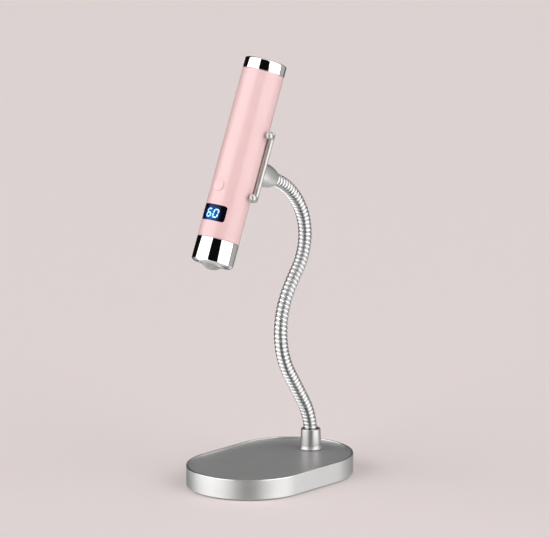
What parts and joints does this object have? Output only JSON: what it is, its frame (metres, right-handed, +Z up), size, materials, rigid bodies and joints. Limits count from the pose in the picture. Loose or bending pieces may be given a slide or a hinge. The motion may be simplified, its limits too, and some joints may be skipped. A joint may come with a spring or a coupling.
{
  "type": "uv led nail lamp",
  "caption": "Torch-shaped UV LED nail curing lamp with a convex lens and a timer display, held by a clip on a gooseneck that rises from a weighted oval desk base.",
  "frame": {"origin": "centre of the oval base's underside, on the surface it stands on", "axes": "+Z up; -Y towards the lens and display side; +Y towards the gooseneck's socket; X across the base's width"},
  "size_m": [0.0838, 0.1336, 0.2895],
  "materials": {
    "base_silver": "satin",
    "plate_grey": "satin",
    "pad_rubber": "matte",
    "inner_steel": "brushed",
    "zinc_steel": "zinc plated",
    "neck_chrome": "polished",
    "clip_nickel": "satin nickel",
    "torch_chrome": "mirror polished",
    "torch_pink": "satin lacquer",
    "lens_glass": "polished",
    "seal_rubber": "matte",
    "reflector_white": "gloss",
    "led_gold": "satin",
    "led_board_white": "matte solder mask",
    "sink_aluminium": "machined",
    "window_black": "gloss",
    "module_white": "matte",
    "board_green": "solder mask",
    "cell_wrap": "shrink film",
    "contact_brass": "nickel plated"
  },
  "bodies": {
    "base": {"anti_slip_pad": "pad_rubber", "base_cover": "inner_steel", "base_weight": "inner_steel", "base_shell": "base_silver", "base_top_plate": "plate_grey", "base_screw_1": "zinc_steel", "base_screw_2": "zinc_steel", "base_screw_3": "zinc_steel", "base_screw_4": "zinc_steel", "socket_washer": "zinc_steel", "socket_nut": "zinc_steel", "neck_socket": "base_silver", "neck_link_01": "neck_chrome"},
    "neck_02": {"neck_link_02": "neck_chrome"},
    "neck_03": {"neck_link_03": "neck_chrome"},
    "neck_04": {"neck_link_04": "neck_chrome"},
    "neck_05": {"neck_link_05": "neck_chrome"},
    "neck_06": {"neck_link_06": "neck_chrome"},
    "neck_07": {"neck_link_07": "neck_chrome"},
    "neck_08": {"neck_link_08": "neck_chrome"},
    "neck_09": {"neck_link_09": "neck_chrome"},
    "holder": {"neck_link_10": "neck_chrome", "neck_hub": "clip_nickel", "torch_clip": "clip_nickel", "clip_screw": "zinc_steel", "clip_magnet_lower": "zinc_steel", "clip_magnet_upper": "zinc_steel"},
    "torch": {"front_collar": "torch_chrome", "lens": "lens_glass", "lens_gasket": "seal_rubber", "reflector": "reflector_white", "uv_led": "led_gold", "led_board": "led_board_white", "heat_sink": "sink_aluminium", "torch_body": "torch_pink", "display_window": "window_black", "display_module": "module_white", "tact_switch": "inner_steel", "main_board": "board_green", "inner_frame": "module_white", "battery_cell": "cell_wrap", "front_contact": "contact_brass", "battery_spring": "zinc_steel", "rear_contact": "contact_brass", "steel_keeper": "zinc_steel", "charge_board": "board_green", "usb_receptacle": "zinc_steel", "tail_cap": "torch_chrome"},
    "button": {"button_cap": "torch_pink"}
  },
  "joints": [
    {"name": "neck_fore_aft_1", "type": "hinge", "parent": "base", "child": "neck_02", "pos_m": [0, 0.03461, 0.0461], "axis": [1, 0, 0], "range_deg": [-15, 15]},
    {"name": "neck_sideways_1", "type": "hinge", "parent": "neck_02", "child": "neck_03", "pos_m": [0, 0.02336, 0.06339], "axis": [0, -0.8325, -0.5541], "range_deg": [-15, 15]},
    {"name": "neck_fore_aft_2", "type": "hinge", "parent": "neck_03", "child": "neck_04", "pos_m": [0, 0.01354, 0.08144], "axis": [1, 0, 0], "range_deg": [-15, 15]},
    {"name": "neck_sideways_2", "type": "hinge", "parent": "neck_04", "child": "neck_05", "pos_m": [0, 0.01086, 0.10177], "axis": [0, -0.998, 0.0625], "range_deg": [-15, 15]},
    {"name": "neck_fore_aft_3", "type": "hinge", "parent": "neck_05", "child": "neck_06", "pos_m": [0, 0.01605, 0.1216], "axis": [1, 0, 0], "range_deg": [-15, 15]},
    {"name": "neck_sideways_3", "type": "hinge", "parent": "neck_06", "child": "neck_07", "pos_m": [0, 0.02734, 0.13883], "axis": [0, -0.789, 0.6145], "range_deg": [-15, 15]},
    {"name": "neck_fore_aft_4", "type": "hinge", "parent": "neck_07", "child": "neck_08", "pos_m": [0, 0.03521, 0.15762], "axis": [1, 0, 0], "range_deg": [-15, 15]},
    {"name": "neck_sideways_4", "type": "hinge", "parent": "neck_08", "child": "neck_09", "pos_m": [0, 0.03222, 0.17778], "axis": [0, -0.9133, -0.4073], "range_deg": [-15, 15]},
    {"name": "neck_fore_aft_5", "type": "hinge", "parent": "neck_09", "child": "holder", "pos_m": [0, 0.02007, 0.19427], "axis": [1, 0, 0], "range_deg": [-15, 15]},
    {"name": "torch_release", "type": "slide", "parent": "holder", "child": "torch", "axis": [0, -0.9205, 0.3907], "range_m": [0, 0.045]},
    {"name": "button_press", "type": "slide", "parent": "torch", "child": "button", "axis": [0, 0.9205, -0.3907], "range_m": [0, 0.0005], "stiffness_N_per_m": 400}
  ]
}
